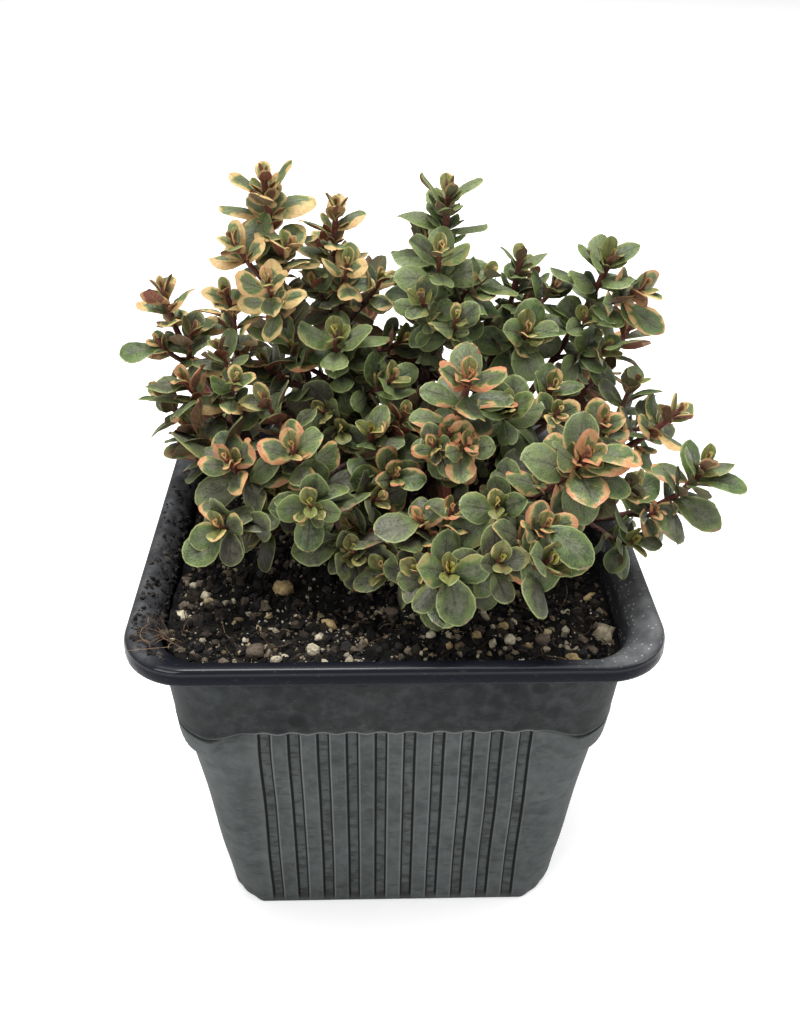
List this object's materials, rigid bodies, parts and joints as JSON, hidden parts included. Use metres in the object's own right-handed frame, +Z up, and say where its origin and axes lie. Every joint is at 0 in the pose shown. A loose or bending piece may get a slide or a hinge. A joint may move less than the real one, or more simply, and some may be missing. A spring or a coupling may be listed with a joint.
{
  "type": "potted thyme",
  "caption": "Bushy variegated thyme with square stems and paired oval leaves, growing in soil in a square ribbed plastic nursery pot.",
  "frame": {"origin": "centre of the pot's flat underside, on the surface that it stands on", "axes": "+Z up out of the pot, -Y the front face seen in the picture, +X to the right"},
  "size_m": [0.1054, 0.1018, 0.1374],
  "materials": {
    "pot": "satin",
    "soil": "matte",
    "foliage": "satin"
  },
  "bodies": {
    "root": {"pot": "pot", "soil": "soil", "spray_spireLeft": "foliage", "spray_spireMid": "foliage", "spray_leftTall": "foliage", "spray_leftMid": "foliage", "spray_leftLow": "foliage", "spray_midGreen": "foliage", "spray_orange": "foliage", "spray_midLeft": "foliage", "spray_spireCentre": "foliage", "spray_bigPink": "foliage", "spray_spireRight": "foliage", "spray_rightTall": "foliage", "spray_rightMid": "foliage", "spray_midRight": "foliage", "spray_frontRight": "foliage", "spray_rightArch": "foliage", "spray_front": "foliage", "spray_frontLow": "foliage", "spray_backLeft": "foliage", "spray_backMidLeft": "foliage", "spray_backMid": "foliage", "spray_backRight": "foliage", "spray_farRight": "foliage", "spray_farLeft": "foliage"}
  },
  "joints": []
}
